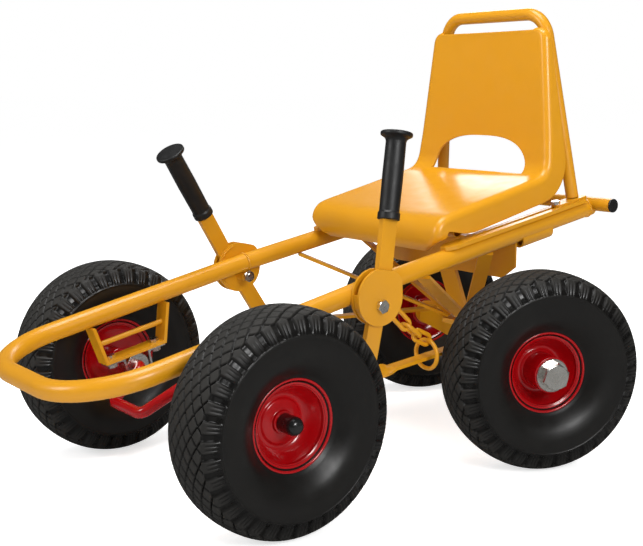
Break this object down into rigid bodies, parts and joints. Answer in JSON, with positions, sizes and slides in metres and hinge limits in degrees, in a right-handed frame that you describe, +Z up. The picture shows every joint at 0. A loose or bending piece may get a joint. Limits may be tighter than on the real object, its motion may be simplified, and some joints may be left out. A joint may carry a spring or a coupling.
{
  "type": "pedal kart",
  "caption": "Four-wheel ride-on pedal kart for children: tube frame, cranked front axle, two hand levers that steer the rear axle, sliding seat, push bar.",
  "frame": {"origin": "on the ground, under the middle of the front axle", "axes": "+X the driver's left, +Y to the rear of the kart, +Z up; the front bumper faces -Y"},
  "size_m": [0.651, 1.0532, 0.6944],
  "materials": {
    "yellow_powder": "satin powder coat",
    "red_enamel": "gloss enamel",
    "tyre": "matte",
    "grip_rubber": "matte",
    "black_plastic": "semi gloss",
    "zinc": "bright zinc plate"
  },
  "bodies": {
    "frame": {"front_loop": "yellow_powder", "left_side_tube": "yellow_powder", "right_side_tube": "yellow_powder", "push_bar": "yellow_powder", "left_push_bar_plug": "black_plastic", "right_push_bar_plug": "black_plastic", "left_hanger": "yellow_powder", "right_hanger": "yellow_powder", "left_bearing": "zinc", "right_bearing": "zinc", "left_bearing_strap": "zinc", "right_bearing_strap": "zinc", "left_strap_bolts": "zinc", "right_strap_bolts": "zinc", "left_inner_plate": "yellow_powder", "right_inner_plate": "yellow_powder", "left_outer_plate": "yellow_powder", "right_outer_plate": "yellow_powder", "left_pivot_bolt": "zinc", "right_pivot_bolt": "zinc", "cross_plate": "yellow_powder", "kingpin_post": "yellow_powder", "kingpin_base": "yellow_powder", "kingpin": "zinc", "left_struts": "yellow_powder", "right_struts": "yellow_powder", "left_seat_rail": "yellow_powder", "right_seat_rail": "yellow_powder", "chain": "yellow_powder"},
    "crank": {"crank_axle": "red_enamel", "left_front_rim": "red_enamel", "left_front_tyre": "tyre", "left_front_cap": "black_plastic", "right_front_cap": "black_plastic"},
    "right_front_wheel": {"right_front_rim": "red_enamel", "right_front_tyre": "tyre"},
    "rear_axle": {"rear_beam": "yellow_powder", "left_axle_bolt": "zinc", "right_axle_bolt": "zinc", "left_link_stud": "zinc", "right_link_stud": "zinc"},
    "left_rear_wheel": {"left_rear_rim": "red_enamel", "left_rear_tyre": "tyre"},
    "right_rear_wheel": {"right_rear_rim": "red_enamel", "right_rear_tyre": "tyre"},
    "left_lever": {"left_lever_bar": "yellow_powder", "left_lever_grip": "grip_rubber", "left_link_pin": "zinc"},
    "right_lever": {"right_lever_bar": "yellow_powder", "right_lever_grip": "grip_rubber", "right_link_pin": "zinc"},
    "left_link": {"left_link": "yellow_powder"},
    "right_link": {"right_link": "yellow_powder"},
    "seat": {"seat_shell": "yellow_powder", "seat_hoop": "yellow_powder", "seat_front_tube": "yellow_powder", "left_seat_foot": "yellow_powder", "right_seat_foot": "yellow_powder", "left_clamp_bolt": "zinc", "right_clamp_bolt": "zinc"}
  },
  "joints": [
    {"name": "steering", "type": "hinge", "parent": "frame", "child": "rear_axle", "pos_m": [0, 0.563, 0.15], "axis": [0, 0, 1], "range_deg": [0, 42]},
    {"name": "left_lever_pivot", "type": "hinge", "parent": "frame", "child": "left_lever", "pos_m": [0.1811, 0.204, 0.268], "axis": [1, 0, 0], "range_deg": [-0.5, 46.1]},
    {"name": "right_lever_pivot", "type": "hinge", "parent": "frame", "child": "right_lever", "pos_m": [-0.1811, 0.204, 0.268], "axis": [1, 0, 0], "range_deg": [-46.1, 0.5]},
    {"name": "left_link_pivot", "type": "hinge", "parent": "left_lever", "child": "left_link", "pos_m": [0.1715, 0.18163, 0.16541], "axis": [1, 0, 0], "range_deg": [-49.09, 1]},
    {"name": "right_link_pivot", "type": "hinge", "parent": "right_lever", "child": "right_link", "pos_m": [-0.1715, 0.26165, 0.18024], "axis": [1, 0, 0], "range_deg": [-1, 49.09]},
    {"name": "crank_spin", "type": "hinge", "parent": "frame", "child": "crank", "pos_m": [0, 0, 0.15], "axis": [1, 0, 0], "continuous": true},
    {"name": "right_front_wheel_spin", "type": "hinge", "parent": "crank", "child": "right_front_wheel", "pos_m": [-0.2395, 0, 0.15], "axis": [1, 0, 0], "continuous": true},
    {"name": "left_rear_wheel_spin", "type": "hinge", "parent": "rear_axle", "child": "left_rear_wheel", "pos_m": [0.239, 0.47126, 0.15], "axis": [0.9336, -0.3584, 0], "continuous": true},
    {"name": "right_rear_wheel_spin", "type": "hinge", "parent": "rear_axle", "child": "right_rear_wheel", "pos_m": [-0.239, 0.65474, 0.15], "axis": [0.9336, -0.3584, 0], "continuous": true},
    {"name": "seat_slide", "type": "slide", "parent": "frame", "child": "seat", "axis": [0, -0.9829, -0.184], "range_m": [0, 0.075]}
  ],
  "couplings": [
    {"joint": "left_lever_pivot", "follows": "steering", "ratio": 1.0857},
    {"joint": "right_lever_pivot", "follows": "steering", "ratio": -1.0857},
    {"joint": "left_link_pivot", "follows": "steering", "ratio": -1.145},
    {"joint": "right_link_pivot", "follows": "steering", "ratio": 1.145}
  ]
}
